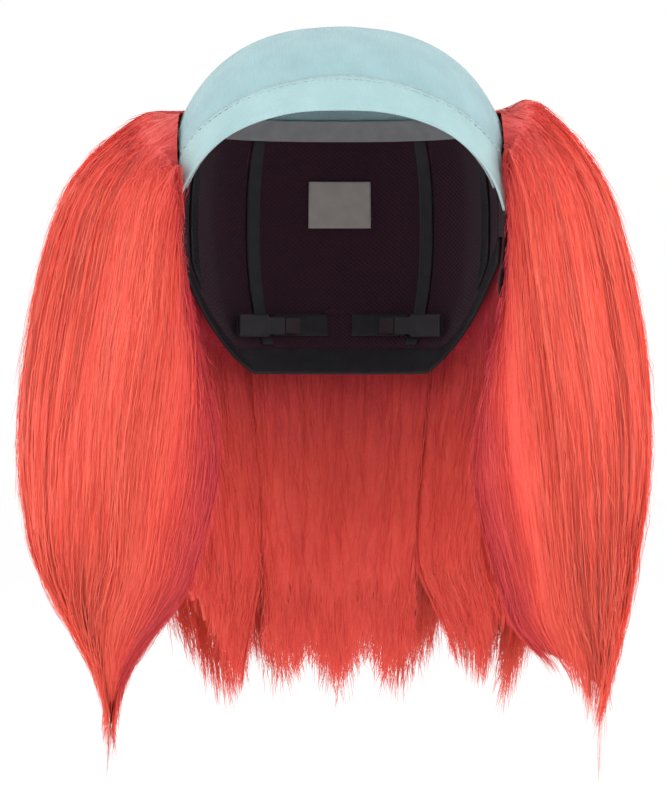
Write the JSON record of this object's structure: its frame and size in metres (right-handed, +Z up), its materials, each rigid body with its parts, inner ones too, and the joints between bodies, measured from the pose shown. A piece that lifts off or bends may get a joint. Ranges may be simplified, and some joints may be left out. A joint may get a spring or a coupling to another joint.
{
  "type": "costume wig",
  "caption": "Costume wig with a bald white stretch crown and long straight hair hanging in two side bunches and a back curtain.",
  "frame": {"origin": "centre of the head opening, level with the tops of the ears, where the wig sits on a head", "axes": "+Z up out of the crown, -Y out of the face opening, +X to the right of a person who faces the wig"},
  "size_m": [0.2857, 0.2154, 0.339],
  "materials": {
    "cap_fabric": "matt smooth stretch knit",
    "hem_fabric": "matt folded stretch knit",
    "thread": "satin sewing thread",
    "net_fabric": "matt elastic net",
    "elastic": "ribbed woven elastic",
    "weft_stitching": "sewn hair track",
    "hair": "matt synthetic hair, combed out and finely teased",
    "label_fabric": "blank satin label",
    "hook_plastic": "moulded, slightly glossy",
    "stay_metal": "bendable strip"
  },
  "bodies": {
    "cap": {"crown_cap": "cap_fabric", "front_hem_band": "hem_fabric", "forehead_tape": "hem_fabric", "rim_seam_tape": "hem_fabric", "hem_topstitch": "thread", "side_base_left": "net_fabric", "side_base_right": "net_fabric", "ear_tab_left": "net_fabric", "ear_tab_right": "net_fabric", "adjuster_channel_left": "net_fabric", "adjuster_channel_right": "net_fabric", "rear_base": "net_fabric", "nape_band": "elastic", "stay_pocket_left": "elastic", "stay_pocket_right": "elastic", "side_ribbon_left": "elastic", "side_ribbon_right": "elastic", "rear_ribbon_left_1": "elastic", "rear_ribbon_left_2": "elastic", "rear_ribbon_right_1": "elastic", "rear_ribbon_right_2": "elastic", "adjuster_pockets_left": "elastic", "adjuster_pockets_right": "elastic", "weft_row_1_left": "weft_stitching", "weft_row_1_right": "weft_stitching", "weft_row_2_left": "weft_stitching", "weft_row_2_right": "weft_stitching", "weft_row_3_left": "weft_stitching", "weft_row_3_right": "weft_stitching", "hair_left_row_1": "hair", "hair_left_row_2": "hair", "hair_left_row_3": "hair", "hair_rear_left_row_1": "hair", "hair_rear_left_row_2": "hair", "hair_rear_left_row_3": "hair", "hair_back_row_1": "hair", "hair_back_row_2": "hair", "hair_back_row_3": "hair", "hair_rear_right_row_1": "hair", "hair_rear_right_row_2": "hair", "hair_rear_right_row_3": "hair", "hair_right_row_1": "hair", "hair_right_row_2": "hair", "hair_right_row_3": "hair", "care_label": "label_fabric", "ear_tab_stay_left": "stay_metal", "ear_tab_stay_right": "stay_metal"},
    "adjuster_left": {"adjuster_strap_left": "elastic", "adjuster_hook_left": "hook_plastic"},
    "adjuster_right": {"adjuster_strap_right": "elastic", "adjuster_hook_right": "hook_plastic"}
  },
  "joints": [
    {"name": "adjuster_slide_left", "type": "slide", "parent": "cap", "child": "adjuster_left", "axis": [0.8862, 0.4633, 0], "range_m": [0, 0.01]},
    {"name": "adjuster_slide_right", "type": "slide", "parent": "cap", "child": "adjuster_right", "axis": [-0.8862, 0.4633, 0], "range_m": [0, 0.01]}
  ]
}
